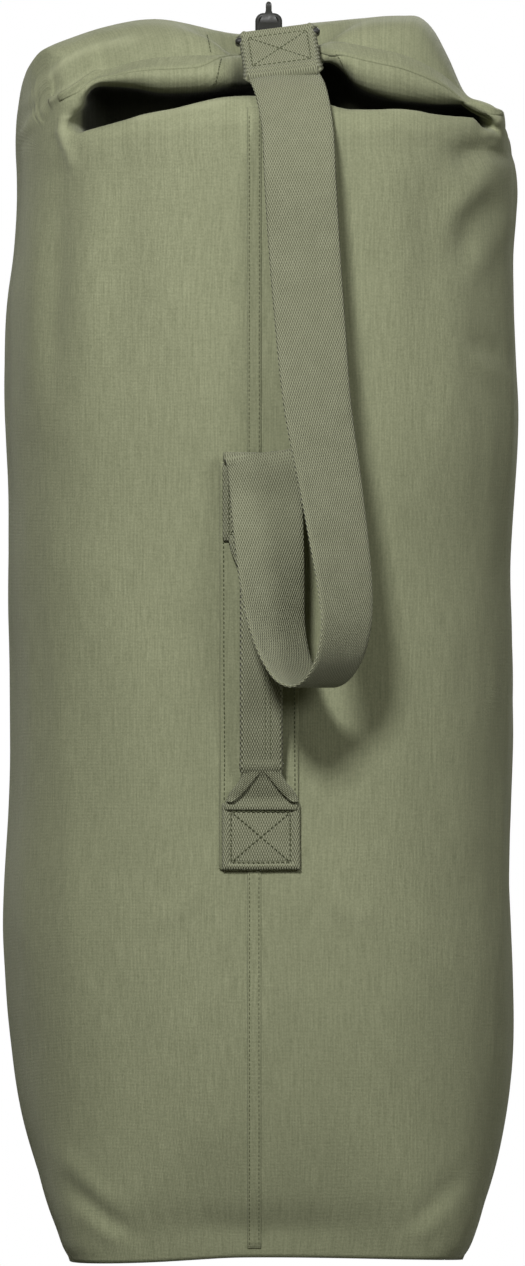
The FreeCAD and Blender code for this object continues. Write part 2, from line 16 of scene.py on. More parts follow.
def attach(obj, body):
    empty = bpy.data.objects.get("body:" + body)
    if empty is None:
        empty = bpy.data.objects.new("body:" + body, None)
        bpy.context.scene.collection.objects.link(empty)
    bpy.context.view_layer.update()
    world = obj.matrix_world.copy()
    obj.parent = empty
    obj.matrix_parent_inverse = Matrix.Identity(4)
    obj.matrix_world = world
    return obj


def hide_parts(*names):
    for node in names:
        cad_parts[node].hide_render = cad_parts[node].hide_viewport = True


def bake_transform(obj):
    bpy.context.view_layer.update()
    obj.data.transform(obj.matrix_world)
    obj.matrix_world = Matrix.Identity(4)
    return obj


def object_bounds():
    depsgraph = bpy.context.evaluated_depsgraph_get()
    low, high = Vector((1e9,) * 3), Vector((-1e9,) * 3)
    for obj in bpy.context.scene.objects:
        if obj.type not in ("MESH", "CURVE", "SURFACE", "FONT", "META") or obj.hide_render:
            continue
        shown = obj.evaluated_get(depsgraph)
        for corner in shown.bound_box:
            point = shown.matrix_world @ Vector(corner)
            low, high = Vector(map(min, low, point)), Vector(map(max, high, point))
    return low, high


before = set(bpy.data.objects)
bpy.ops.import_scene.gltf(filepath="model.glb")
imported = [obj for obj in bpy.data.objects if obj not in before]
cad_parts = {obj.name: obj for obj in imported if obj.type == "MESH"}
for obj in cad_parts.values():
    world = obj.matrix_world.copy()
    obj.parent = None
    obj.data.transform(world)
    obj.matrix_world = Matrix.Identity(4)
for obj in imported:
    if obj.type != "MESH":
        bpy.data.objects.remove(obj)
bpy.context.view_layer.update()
mm = 0.001

# %% [markdown]
# Shapes are drawn from short tables of heights and widths in millimetres. A smooth
# cubic goes through each table, so a few numbers give a whole outline.

# %% Smooth tables
def smooth(table, x):
    """Cubic Hermite curve through (x, y) pairs; slopes are the mean of the
    neighbouring chords."""
    t = np.asarray(table, float)
    xs, ys = t[:, 0], t[:, 1]
    chord = np.diff(ys) / np.diff(xs)
    slope = np.concatenate([chord[:1], 0.5 * (chord[1:] + chord[:-1]), chord[-1:]])
    x = np.clip(np.asarray(x, float), xs[0], xs[-1])
    i = np.clip(np.searchsorted(xs, x) - 1, 0, len(xs) - 2)
    h = xs[i + 1] - xs[i]
    u = (x - xs[i]) / h
    return ((2 * u**3 - 3 * u**2 + 1) * ys[i] + (u**3 - 2 * u**2 + u) * h * slope[i]
            + (3 * u**2 - 2 * u**3) * ys[i + 1] + (u**3 - u**2) * h * slope[i + 1])


def mix(a, b, t):
    return a + (b - a) * t


def step(x, low, high):
    """Smooth step from 0 at low to 1 at high."""
    t = np.clip((x - low) / (high - low), 0, 1)
    return t * t * (3 - 2 * t)


def value_noise(p, scale, seed):
    """Smooth random field between -1 and 1: random values on a lattice of the
    given spacing, blended with a smooth step along each axis."""
    rng = np.random.default_rng(seed)
    table = rng.uniform(-1, 1, (32, 32, 32))
    q = p / scale + 1000.0
    i = np.floor(q).astype(int)
    f = q - i
    f = f * f * (3 - 2 * f)
    out = 0
    for dx in (0, 1):
        for dy in (0, 1):
            for dz in (0, 1):
                w = (np.where(dx, f[..., 0], 1 - f[..., 0]) * np.where(dy, f[..., 1], 1 - f[..., 1])
                     * np.where(dz, f[..., 2], 1 - f[..., 2]))
                out = out + w * table[(i[..., 0] + dx) % 32, (i[..., 1] + dy) % 32, (i[..., 2] + dz) % 32]
    return out


# %% [markdown]
# Each surface ends as a grid of points. One helper turns a grid into a mesh with
# its own UV map in metres, so that a weave can follow the cloth.

# %% Grids to meshes
def grid_faces(rows, cols, wrap=False):
    j = np.arange(cols if wrap else cols - 1)
    i = np.arange(rows - 1)
    a = i[:, None] * cols + j[None, :]
    b = i[:, None] * cols + (j[None, :] + 1) % cols
    return np.stack([a, b, b + cols, a + cols], -1).reshape(-1, 4)


def mesh_object(name, points, faces, uv=None):
    """Mesh from points in millimetres; uv is one pair per face corner."""
    me = bpy.data.meshes.new(name)
    me.from_pydata((np.asarray(points, float).reshape(-1, 3) * mm), [], np.asarray(faces).tolist())
    if uv is not None:
        layer = me.uv_layers.new(name="cloth")
        layer.data.foreach_set("uv", (np.asarray(uv, float).reshape(-1) * mm))
    me.shade_smooth()
    me.update()
    ob = bpy.data.objects.new(name, me)
    bpy.context.scene.collection.objects.link(ob)
    return ob


def lengths(points, axis):
    """Distance run along one axis of a grid, starting at 0."""
    d = np.linalg.norm(np.diff(points, axis=axis), axis=-1)
    z = np.zeros_like(np.take(d, [0], axis=axis))
    return np.concatenate([z, np.cumsum(d, axis=axis)], axis=axis)


def normals(points):
    """Unit normals of a grid: the cross product of its two directions."""
    du = np.gradient(points, axis=1)
    dv = np.gradient(points, axis=0)
    n = np.cross(du, dv)
    return n / np.maximum(np.linalg.norm(n, axis=-1, keepdims=True), 1e-9)


def closed_sheet(name, points, low, high):
    """Cloth between two distances from a grid. Each row is a closed ring: front,
    rounded edge, back, rounded edge; a rounded row closes each end. low and high
    may change over the grid."""
    n = normals(points)
    low = np.broadcast_to(low, points.shape[:2])[..., None]
    high = np.broadcast_to(high, points.shape[:2])[..., None]
    front, back, mid = points + n * high, points + n * low, points + n * (low + high) / 2
    half = (high - low) / 2

    def out(p, q, r):
        d = p - q
        return p + d / np.maximum(np.linalg.norm(d, axis=-1, keepdims=True), 1e-9) * r

    left, right = out(mid[:, 0], mid[:, 1], half[:, 0]), out(mid[:, -1], mid[:, -2], half[:, -1])
    ring = np.concatenate([front, right[:, None], back[:, ::-1], left[:, None]], axis=1)
    caps = []
    for k, m in ((0, 1), (-1, -2)):
        c = out(mid[k], mid[m], half[k])
        caps.append(np.concatenate([c, c[-1:], c[::-1], c[:1]])[None])
    ring = np.concatenate([caps[0], ring, caps[1]])
    rows, c = points.shape[:2]
    turn = 1.3
    u = lengths(points, 1)
    u = u - u[:, c // 2:c // 2 + 1]
    u = np.concatenate([u, u[:, -1:] + turn, u[:, ::-1], u[:, :1] - turn], axis=1)
    u = np.concatenate([u[:1], u, u[-1:]])
    v = lengths(points, 0)[:, c // 2]
    v = np.concatenate([v[:1] - turn, v, v[-1:] + turn])
    faces = grid_faces(rows + 2, 2 * c + 2, True)
    uv = np.stack(np.broadcast_arrays(u, v[:, None]), -1).reshape(-1, 2)[faces]
    ob = mesh_object(name, ring, faces, uv)
    bm = bmesh.new()
    bm.from_mesh(ob.data)
    bmesh.ops.remove_doubles(bm, verts=bm.verts, dist=1e-7)
    bm.to_mesh(ob.data)
    bm.free()
    return ob


# %% [markdown]
# ## The bag's shell
# The left and right outline are drawn as widths at heights, because the real cloth
# is not symmetrical. Between them the section is a superellipse that goes from a
# rounded square at the base to nearly round.

# %% Outline tables: (height, x)
LEFT = [(0, -143), (3, -144), (9, -147.5), (24, -152.5), (38, -157.5), (68, -166.5), (98, -174.5),
        (127, -180), (157, -183.5), (186, -186.5), (216, -188.5), (246, -190), (275, -189.5),
        (334, -185.7), (394, -185), (453, -186.5), (512, -188.7), (571, -189.4), (630, -191.7),
        (690, -191.7), (719, -190.5), (749, -187.2), (778, -185), (808, -183.8), (822, -184)]
RIGHT = [(0, 149), (3, 150), (9, 154), (24, 160), (38, 164.5), (68, 173), (98, 179), (127, 183),
         (157, 185), (216, 185.7), (275, 185), (334, 186.3), (394, 187.2), (453, 187), (512, 185.7),
         (542, 187), (601, 191.5), (630, 192), (660, 190.5), (690, 189.4), (719, 188), (749, 186.7),
         (778, 188), (800, 188.6), (815, 187), (822, 185)]
FULL = [(0, 0), (25, 0.14), (49, 0.34), (74, 0.50), (99, 0.63), (132, 0.75), (181, 0.85),
        (247, 0.89), (362, 0.86), (460, 0.88), (542, 0.915), (608, 0.98), (674, 0.985), (740, 0.92),
        (822, 0.85)]
RIM = 822.0
DEPTH0, DEPTH1 = 150.5, 196.0


def section(theta, z):
    """Point of the shell: theta from the front, positive to the right. The radius is
    (|sin/a|^n + |cos/b|^n)^(-1/n) about the middle of the two outlines."""
    left, right, full = smooth(LEFT, z), smooth(RIGHT, z), smooth(FULL, z)
    a, mid = (right - left) / 2, (right + left) / 2
    b = mix(DEPTH0, DEPTH1, full)
    n = 2.45 + 3.55 * np.maximum(0, 1 - full) ** 2.2
    s, c = np.sin(theta), np.cos(theta)
    r = (np.abs(s / a) ** n + np.abs(c / b) ** n) ** (-1 / n)
    return np.stack([mid + r * s, -r * c, z + 0 * theta], -1)


# %% [markdown]
# Soft dents and folds are added along the surface normal. Each is a ridge along a
# short line: height times exp(-(distance / width)^2), fading at its ends.

# %% Folds in the cloth
def line_distance(p, line):
    """Distance in x and z to a polyline, and how far along it the near point is."""
    q = p[..., [0, 2]]
    best = np.full(q.shape[:-1], 1e9)
    along = np.zeros_like(best)
    pts = np.asarray(line, float)
    for k in range(len(pts) - 1):
        a, b = pts[k], pts[k + 1]
        ab = b - a
        t = np.clip(((q - a) @ ab) / (ab @ ab), 0, 1)
        d = np.linalg.norm(q - (a + t[..., None] * ab), axis=-1)
        near = d < best
        best = np.where(near, d, best)
        along = np.where(near, (k + t) / (len(pts) - 1), along)
    return best, along


# height mm, width mm, line of (x, z)
FRONT_FOLDS = [
    (-5.0, 9, [(176, 834), (160, 822), (138, 812)]), (3.5, 8, [(168, 806), (152, 788), (140, 775)]),
    (-2.2, 10, [(178, 795), (160, 768), (141, 739)]), (1.8, 9, [(186, 780), (170, 752), (150, 725)]),
    (-2.0, 9, [(152, 682), (178, 668)]), (1.5, 8, [(150, 672), (176, 656)]),
    (2.4, 10, [(-160, 790), (-168, 700), (-170, 620)]), (-2.4, 9, [(-148, 800), (-152, 720), (-158, 640)]),
    (1.8, 12, [(-120, 815), (-128, 740), (-132, 660)]), (-1.6, 12, [(-100, 820), (-104, 740), (-108, 640)]),
    (1.5, 14, [(-70, 830), (-74, 760), (-78, 680)]), (-1.6, 12, [(-42, 840), (-40, 760), (-38, 660)]),
    (1.8, 9, [(-20, 845), (-20, 760), (-19, 640)]), (-2.0, 8, [(62, 835), (66, 780), (72, 700)]),
    (1.6, 13, [(92, 835), (98, 770), (104, 690)]), (-1.5, 12, [(120, 820), (124, 770), (126, 700)]),
    (-2.6, 8, [(-142, 60), (-122, 38), (-96, 22)]), (2.2, 7, [(-138, 44), (-118, 26), (-100, 12)]),
    (2.0, 8, [(-150, 84), (-132, 62), (-104, 40)]), (-2.0, 9, [(150, 70), (132, 46), (110, 26)]),
    (1.8, 8, [(144, 50), (124, 30), (106, 14)]), (-1.4, 14, [(-60, 30), (0, 22), (60, 28)]),
    (1.4, 18, [(-34, 560), (-36, 440), (-34, 310)]), (1.4, 18, [(30, 560), (31, 440), (30, 310)]),
    (-1.8, 10, [(-3, 285), (-3, 240), (-3, 200)]), (1.2, 9, [(-40, 285), (-60, 262), (-84, 250)]),
    (1.2, 9, [(36, 285), (58, 262), (84, 254)]),
]


def folds(points, normal):
    """Sum of the front's ridges, then broad soft bulges all round."""
    front = step(-points[..., 1], 20, 70)
    out = np.zeros(points.shape[:-1])
    for height, width, line in FRONT_FOLDS:
        d, t = line_distance(points, line)
        fade = np.minimum(step(t, -0.02, 0.3), 1 - step(t, 0.7, 1.02))
        out = out + front * height * np.exp(-((d / width) ** 2)) * (0.35 + 0.65 * fade)
    low = step(points[..., 2], 0, 60)
    stretched = points * np.array([1.0, 1.0, 0.35])
    out = out + low * 1.6 * value_noise(stretched, 46.0, 3) + low * 0.7 * value_noise(stretched, 19.0, 4)
    back = 1 - front
    out = out + back * low * (3.2 * value_noise(points * np.array([1, 1, 0.4]), 62.0, 9))
    turn = np.arctan2(points[..., 0], -points[..., 1])
    pleats = np.sin(13 * turn + 1.6 * np.sin(3 * turn)) * np.exp(-(((points[..., 2] - 815) / 75.0) ** 2))
    out = out + back * 2.2 * pleats
    return out


# %% [markdown]
# The mouth. In front the cloth bulges to a crest, dives into a deep crease, comes
# forward again as a lip and ends in the hem. All the way round the back it rises
# over the top and comes down behind the lip. Each column of the grid has ten
# control points, and a smooth curve goes through them.

# %% Mouth tables: (x, height)
CREST = [(-150, 829), (-136, 834), (-118, 839), (-92, 846), (-60, 852), (-35, 859), (-12, 861),
         (20, 858), (47, 855), (67, 850.5), (102, 851), (135, 848), (159, 846), (172, 842)]
GAP_TOP = [(-150, 850), (-136, 853), (-124, 864), (-110, 865), (-92, 863.5), (-76, 860.5),
           (-46, 860.5), (-16, 864), (20, 872), (48, 883), (58, 878), (70, 865), (92, 856.5),
           (124, 852.5), (155, 852), (172, 848)]
LIP = [(-150, 862), (-145, 865), (-125, 878), (-108, 884), (-88, 889), (-60, 891.5), (-33, 892.5),
       (-17, 892), (5, 896), (38, 903), (60, 901), (82, 897.6), (108, 891.7), (135, 877.6),
       (152, 862), (172, 852)]
BROW = [(-184, 846), (-178, 852), (-163, 871), (-145, 888), (-125, 898), (-84, 906), (-47, 909),
        (-16, 905), (20, 905), (45, 909), (82, 914), (108, 914), (122, 908), (135, 890), (150, 866),
        (172, 853)]
TOP = [(-186, 850), (-181, 866), (-178, 877), (-172, 888.5), (-160, 898), (-142, 907),
       (-130, 911.7), (-116, 916), (-98, 920), (-83, 922), (-61, 920), (-38, 915.5), (-16, 911),
       (2, 911.5), (17, 914.5), (28, 917.6), (50, 920.6), (72, 922.8), (95, 924), (106, 924),
       (117, 922.8), (128, 912.4), (139, 891), (150, 867), (161, 859.5), (172, 853.5), (178, 845),
       (183, 837)]
STAPLE_X, STAPLE_Y = 5.0, -95.0
HOOD_LAYER, LIP_LAYER = 888.6, 892.2
corner_left, corner_right = math.radians(-51.5), math.radians(69.0)


def tongue(x):
    """1 at the staple, 0 away from it: the lip is pulled back over the staple."""
    return np.exp(-(((x - STAPLE_X) / 38.0) ** 4))


def rise(x):
    """How much of the fold there is: none at its two ends."""
    return step(x, -150, -114) * (1 - step(x, 142, 178))


def front_column(theta):
    """Ten control points, rim to hem, for a column of the front. out is how far each
    lies behind the rim; the lip is pushed back to clear the tab and cover the staple."""
    rim = section(theta, np.full_like(theta, RIM))
    x, y0 = rim[:, 0], rim[:, 1]
    zc, zg, zl = smooth(CREST, x), smooth(GAP_TOP, x), smooth(LIP, x)
    amount = rise(x)
    back = amount * (1 + 0.35 * np.exp(-(((x - 10) / 62) ** 2)))
    T = tongue(x)
    under_tab = np.exp(-(((x - 16) / 36) ** 4))
    zl_end = mix(zl, LIP_LAYER, T)
    out = [0, 2, 13, 34, 84, 78, 35, 23, 35, 46]
    gap = np.maximum(zg - zc, 3.0)
    hs = [np.full_like(x, RIM), mix(RIM, zc, 0.62), zc, zc - 6.0 * amount, mix(zc, zg, 0.3) - 9 * amount,
          zg - np.minimum(2.0, gap * 0.3) + 3.5, zg + 4.5, mix(zg, zl, 0.55), mix(zl - 5, zl_end, T), zl_end]
    pushed = {6: 7 * under_tab, 7: 30 * under_tab, 8: 8 * T + 19 * under_tab, 9: 46 * T}
    pts = []
    bulge = 4.0 * np.exp(-(((x - 172) / 8.0) ** 2))
    for k in range(10):
        push = pushed.get(k, 0.0)
        z = mix(mix(RIM, zl, k / 9.0), hs[k], np.clip(amount * 1.6, 0, 1))
        xx = x + bulge * math.sin(math.pi * k / 9.0)
        pts.append(np.stack([xx, y0 + out[k] * back + push, z], -1))
    return np.stack(pts)


def lip_y(x):
    """Where the lip's hem lies in depth, at x."""
    th = np.linspace(corner_left, corner_right, 200)
    c = front_column(th)[8]
    return np.interp(x, c[:, 0], c[:, 1])


def hood_column(theta, share):
    """Ten control points for a column of the back: up from the rim, over the top
    and down behind the lip. share runs from the left corner round to the right."""
    rim = section(theta, np.full_like(theta, RIM))
    x0, y0 = rim[:, 0], rim[:, 1]
    e0 = section(np.array([corner_left]), np.array([RIM]))[0, 0]
    e1 = section(np.array([corner_right]), np.array([RIM]))[0, 0]
    xh = mix(e0, e1, (1 - np.cos(np.pi * share)) / 2)
    edge = (1 - np.exp(-((share / 0.035) ** 2))) * (1 - np.exp(-(((1 - share) / 0.035) ** 2)))
    yh = lip_y(xh) + 5.5 * edge
    zh = smooth(LIP, xh) - 8.0 * edge
    f = [0, 0.012, 0.05, 0.17, 0.42, 0.68, 0.86, 0.94, 0.975, 1.0]
    pts = []
    for k in range(10):
        x, y = mix(x0, xh, f[k]), mix(y0, yh, f[k])
        top, brow = smooth(TOP, x), smooth(BROW, x)
        hs = [RIM, mix(RIM, top, 0.40), mix(RIM, top, 0.76), mix(RIM, top, 0.96), top, top - 0.5,
              mix(top, brow, 0.35), brow, mix(zh, brow, 0.62), zh][k]
        line = mix(RIM, smooth(LIP, xh), k / 9.0)
        pts.append(np.stack([x, y, mix(line, hs, edge)], -1))
    return np.stack(pts)


def through(control, count):
    """Curve through control points (first axis), with slopes from neighbours,
    sampled evenly along its length in every column."""
    k = control.shape[0]
    slope = np.empty_like(control)
    slope[1:-1] = (control[2:] - control[:-2]) / 2
    slope[0], slope[-1] = control[1] - control[0], control[-1] - control[-2]
    t = np.linspace(0, k - 1, 40 * (k - 1) + 1)
    i = np.minimum(t.astype(int), k - 2)
    u = (t - i)[:, None, None]
    dense = ((2 * u**3 - 3 * u**2 + 1) * control[i] + (u**3 - 2 * u**2 + u) * slope[i]
             + (3 * u**2 - 2 * u**3) * control[i + 1] + (u**3 - u**2) * slope[i + 1])
    run = lengths(dense, 0)
    out = np.empty((count,) + control.shape[1:])
    for j in range(control.shape[1]):
        goal = np.linspace(0, run[-1, j], count)
        for a in range(3):
            out[:, j, a] = np.interp(goal, run[:, j], dense[:, j, a])
    return out


# %% [markdown]
# The shell is a grid: its columns go round the bag, first the front and then the
# back, and its rows go up the side and over the mouth.

# %% Build the shell
front_count, hood_count = 110, 150
side_rows, mouth_rows = 150, 62
th_front = np.linspace(corner_left, corner_right, front_count)
th_hood = np.linspace(corner_right, corner_left + 2 * math.pi, hood_count + 2)[1:-1]
theta = np.concatenate([th_front, th_hood])
cols = len(theta)
share = 1 - (th_hood - corner_right) / (corner_left + 2 * math.pi - corner_right)

lift = 5.0 * np.clip(np.cos(theta), 0, 1) ** 2 * step(np.sin(theta), -0.75, -0.1)
t = np.linspace(0, 1, side_rows)
t = 0.55 * t + 0.45 * t ** 1.5
z_rows = RIM * t[:, None] + lift[None, :] * (1 - t[:, None]) ** 6
side = section(np.broadcast_to(theta, z_rows.shape), z_rows)
mouth = np.concatenate([through(front_column(th_front), mouth_rows),
                        through(hood_column(th_hood, share), mouth_rows)], axis=1)
shell = np.concatenate([side[:-1], mouth])

# gather the two top layers flat round the staple
plan = np.hypot((shell[..., 0] - STAPLE_X) / 1.5, shell[..., 1] - STAPLE_Y)
is_hood = np.arange(cols)[None, :] >= front_count
high = shell[..., 2] > 872
near = np.exp(-((plan / 34.0) ** 4))
shell[..., 2] = np.where(high & is_hood, mix(shell[..., 2], HOOD_LAYER, near), shell[..., 2])

wrapped = np.concatenate([shell[:, -1:], shell, shell[:, :1]], axis=1)
n_shell = normals(wrapped)[:, 1:-1]
rows = shell.shape[0]
side_part = np.clip((side_rows + 6 - np.arange(rows)) / 12.0, 0, 1)[:, None]
amount = folds(shell, n_shell)
base_fade = np.clip(np.arange(rows) / 6.0, 0, 1)[:, None]
shell = shell + n_shell * (amount * mix(0.45, 1.0, side_part) * base_fade)[..., None]

# %% [markdown]
# Creases: sharp little ridges where the cloth is folded. They also carry a value painted on the points that
# the canvas finish turns lighter: rubbed wear together with a painted highlight on the ridges. A second value
# marks the deep part of the front crease, which the finish paints dark as shade.

# %% Creases
CREASES = [
    (2.6, 3.0, [(-181, 828), (-169, 847), (-157, 857), (-145, 865), (-126, 877), (-108, 884)]),
    (2.4, 3.0, [(-178, 852), (-163, 871), (-145, 888), (-125, 898), (-84, 907)]),
    (3.0, 3.0, [(-124, 862), (-136, 855), (-146, 845), (-148, 835), (-145, 826), (-141, 818), (-138, 806)]),
    (1.8, 3.4, [(153, 861), (165, 858), (174, 851), (175, 845), (169, 836), (160, 831)]),
    (1.0, 2.6, [(62, 851), (90, 853), (124, 850)]), (1.0, 2.5, [(-100, 843), (-70, 850), (-20, 858)]),
]
wear_and_highlight = np.zeros(shell.shape[:-1])
painted_crease_shade = np.zeros(shell.shape[:-1])
k = (np.arange(mouth_rows) / (mouth_rows - 1.0))[:, None]
# Painted shade: the cloth deep in the front crease of the mouth, well behind the rim and below the lip, is
# marked to be painted near-black.
crease_shade_mask = step(mouth[:, :front_count, 1] - mouth[:1, :front_count, 1], 26, 46) * (1 - step(k, 0.74, 0.86))
painted_crease_shade[side_rows - 1:, :front_count] = crease_shade_mask
facing = step(-shell[..., 1], 0, 25)
# The crease ridges carry rubbed wear and a painted highlight, which the canvas finish turns lighter.
for height, width, line in CREASES:
    d, s = line_distance(shell, line)
    w = np.exp(-((d / width) ** 2)) * facing * np.minimum(step(s, -0.02, 0.2), 1 - step(s, 0.85, 1.02))
    shell = shell + n_shell * (height * w)[..., None]
    wear_and_highlight = np.maximum(wear_and_highlight, w)

# the base: the same columns drawn in to the middle, a little sunk
centre = np.array([3.0, 0.0, 0.0])
rings = []
for f, drop in ((0.0, 3.0), (0.25, 3.0), (0.5, 3.0), (0.75, 2.6), (0.90, 1.8), (0.965, 0.8)):
    ring = centre + (shell[0] - centre) * max(f, 0.002)
    ring[:, 2] = np.maximum(0.0, drop * 0.6 + lift * f)
    rings.append(ring)
bag_points = np.concatenate([np.stack(rings), shell])
base_rows = len(rings)
print("shell", bag_points.shape, "x", shell[..., 0].min(), shell[..., 0].max(), "top", shell[..., 2].max())


# %% [markdown]
# ## Finishes
# Every finish is built from nodes. One helper adds a node, sets its inputs and
# makes its links; another turns a hex colour into the linear values Blender uses.

# %% Node and colour helpers
def linear(code):
    """sRGB hex to linear RGBA."""
    c = np.array([int(code[i:i + 2], 16) for i in (1, 3, 5)]) / 255
    c = np.where(c <= 0.04045, c / 12.92, ((c + 0.055) / 1.055) ** 2.4)
    return (*c.tolist(), 1.0)


def new_material(name):
    m = bpy.data.materials.new(name)
    m.use_nodes = True
    m.node_tree.nodes.clear()
    return m


def node(mat, kind, settings=None, **inputs):
    """Add a node. settings are its attributes; inputs are its sockets by name (an
    underscore for a space, or i0, i1 for a place in the list), each a value or an
    output socket to link."""
    tree = mat.node_tree
    n = tree.nodes.new(kind)
    for k, v in (settings or {}).items():
        setattr(n, k, v)
    for k, v in inputs.items():
        s = n.inputs[int(k[1:])] if k[0] == "i" and k[1:].isdigit() else n.inputs[k.replace("_", " ")]
        if isinstance(v, bpy.types.NodeSocket):
            tree.links.new(v, s)
        else:
            s.default_value = v
    return n


def combine(mat, operation, *values):
    """Math node on two or three values."""
    inputs = {f"i{k}": v for k, v in enumerate(values)}
    return node(mat, "ShaderNodeMath", {"operation": operation}, **inputs).outputs[0]


def remap(mat, value, low, high, to_low=0.0, to_high=1.0):
    """Map Range node: low to high becomes to_low to to_high."""
    return node(mat, "ShaderNodeMapRange", None, Value=value, From_Min=low, From_Max=high,
                To_Min=to_low, To_Max=to_high).outputs[0]


def tint(mat, share, first, second):
    """Mix of two colours: share 0 gives the first, 1 the second."""
    return node(mat, "ShaderNodeMix", {"data_type": "RGBA"}, i0=share, i6=first, i7=second).outputs[2]


def noise(mat, vector, scale, detail, **more):
    return node(mat, "ShaderNodeTexNoise", None, Vector=vector, Scale=scale, Detail=detail, **more).outputs[0]


def finish(mat, color, roughness, bump=None, **more):
    shader = node(mat, "ShaderNodeBsdfPrincipled", None, Base_Color=color, Roughness=roughness, **more)
    if bump is not None:
        mat.node_tree.links.new(bump, shader.inputs["Normal"])
    out = node(mat, "ShaderNodeOutputMaterial")
    mat.node_tree.links.new(shader.outputs[0], out.inputs["Surface"])
    return mat


# %% [markdown]
# Cotton duck is a plain weave of thick yarns. Its threads are about 0.6 mm apart; they are drawn 1.1 mm apart
# here so that they show at this size. Dye takes unevenly on the yarns, so the colour has fine streaks along
# both threads and broad soft clouds. Folds are made lighter, for rubbed wear and a painted highlight, and the
# deep part of the mouth's crease is painted near-black as shade.

# %% Canvas finish
def threads(mat, uv, spacing, turn, distortion=1.2):
    """Sine bands across one direction of the cloth's own UV map, in metres."""
    m = node(mat, "ShaderNodeMapping", None, Vector=uv, Rotation=(0, 0, turn))
    w = node(mat, "ShaderNodeTexWave", {"wave_type": "BANDS", "bands_direction": "X", "wave_profile": "SIN"},
             Vector=m.outputs[0], Scale=2 * math.pi / (20.0 * spacing), Distortion=distortion,
             Detail=2.0, Detail_Scale=1.5)
    return w.outputs["Color"]


def canvas(name, base, light, dark, spacing=0.0012, relief=0.3):
    m = new_material(name)
    coords = node(m, "ShaderNodeTexCoord")
    uv = node(m, "ShaderNodeUVMap", {"uv_map": "cloth"}).outputs[0]
    warp = threads(m, uv, spacing, 0.0, 2.0)
    weft = threads(m, uv, spacing * 0.9, math.pi / 2, 2.0)
    weave = combine(m, "MULTIPLY_ADD", weft, 0.45, warp)
    streak_map = node(m, "ShaderNodeMapping", None, Vector=uv, Scale=(1.0, 0.06, 1.0))
    streaks = noise(m, streak_map.outputs[0], 680.0, 3.0)
    slub_map = node(m, "ShaderNodeMapping", None, Vector=uv, Scale=(0.12, 1.0, 1.0))
    slubs = noise(m, slub_map.outputs[0], 640.0, 3.0)
    grain = noise(m, coords.outputs["Object"], 700.0, 3.0)
    clouds = noise(m, coords.outputs["Object"], 6.0, 4.0, Roughness=0.55)
    yarns = combine(m, "MULTIPLY_ADD", slubs, 0.35, streaks)
    yarns = combine(m, "MULTIPLY_ADD", grain, 1.0, yarns)
    ramp = remap(m, yarns, 0.86, 1.5)
    tone = tint(m, ramp, linear(dark), linear(light))
    tone = tint(m, 0.5, linear(base), tone)
    cloud = remap(m, clouds, 0.3, 0.7, 0.0, 0.2)
    tone = tint(m, cloud, tone, linear(dark))
    # Rubbed wear and painted highlight: the crease ridges are mixed up to 0.55 toward the light tone.
    rubbed_and_lit = node(m, "ShaderNodeAttribute", {"attribute_name": "wear_and_highlight"}).outputs["Fac"]
    rubbed_and_lit = combine(m, "MULTIPLY", rubbed_and_lit, 0.55)
    tone = tint(m, rubbed_and_lit, tone, linear(light))
    # Painted shade: where the crease shade value is set, the colour is mixed up to 0.93 toward near-black
    # #14150C.
    crease_shade_mix = node(m, "ShaderNodeAttribute", {"attribute_name": "painted_crease_shade"}).outputs["Fac"]
    crease_shade_mix = combine(m, "MULTIPLY", crease_shade_mix, 0.93)
    tone = tint(m, crease_shade_mix, tone, linear("#14150C"))
    height = combine(m, "MULTIPLY_ADD", yarns, 0.9, weave)
    bump = node(m, "ShaderNodeBump", None, Strength=relief, Distance=0.0006, Height=height).outputs[0]
    return finish(m, tone, 0.92, bump, Sheen_Weight=0.08, Sheen_Roughness=0.5, Specular_IOR_Level=0.2)


duck = canvas("olive_cotton_duck", "#8C8F72", "#A3A688", "#70745A")

# %% [markdown]
# Cotton webbing is woven narrow and thick: fine ribs run along it and each rib is a
# row of tiny steps. It is greyer than the canvas. The thread is thick polyester.

# %% Webbing, thread and metal finishes
def webbing_finish(name, base, light, dark):
    """Two sets of slanted bands add up to rows of beads, each row shifted by half
    a bead: the beads are 1.85 mm apart and the rows 2.1 mm."""
    m = new_material(name)
    uv = node(m, "ShaderNodeUVMap", {"uv_map": "cloth"}).outputs[0]
    kx, ky = 2 * math.pi / 1.85, math.pi / 2.1
    spacing, slant = 2 * math.pi / math.hypot(kx, ky) * mm, math.atan2(ky, kx)
    one = threads(m, uv, spacing, slant, 0.5)
    two = threads(m, uv, spacing, -slant, 0.5)
    fine = noise(m, uv, 900.0, 3.0)
    patchy = noise(m, uv, 60.0, 3.0)
    pattern = combine(m, "ADD", one, two)
    pattern = combine(m, "MULTIPLY_ADD", fine, 0.9, pattern)
    pattern = combine(m, "MULTIPLY_ADD", patchy, 0.5, pattern)
    ramp = remap(m, pattern, 0.9, 2.5)
    tone = tint(m, ramp, linear(dark), linear(light))
    tone = tint(m, 0.8, linear(base), tone)
    bump = node(m, "ShaderNodeBump", None, Strength=0.7, Distance=0.0009, Height=pattern).outputs[0]
    return finish(m, tone, 0.88, bump, Sheen_Weight=0.08, Specular_IOR_Level=0.2)


webbing = webbing_finish("ribbed_cotton_webbing", "#84866D", "#A6A88F", "#5E6048")


def thread_finish():
    m = new_material("dark_olive_thread")
    c = node(m, "ShaderNodeTexCoord")
    n = noise(m, c.outputs["Object"], 1500.0, 2.0)
    tone = tint(m, n, linear("#3F432C"), linear("#565A40"))
    return finish(m, tone, 0.7, Specular_IOR_Level=0.3)


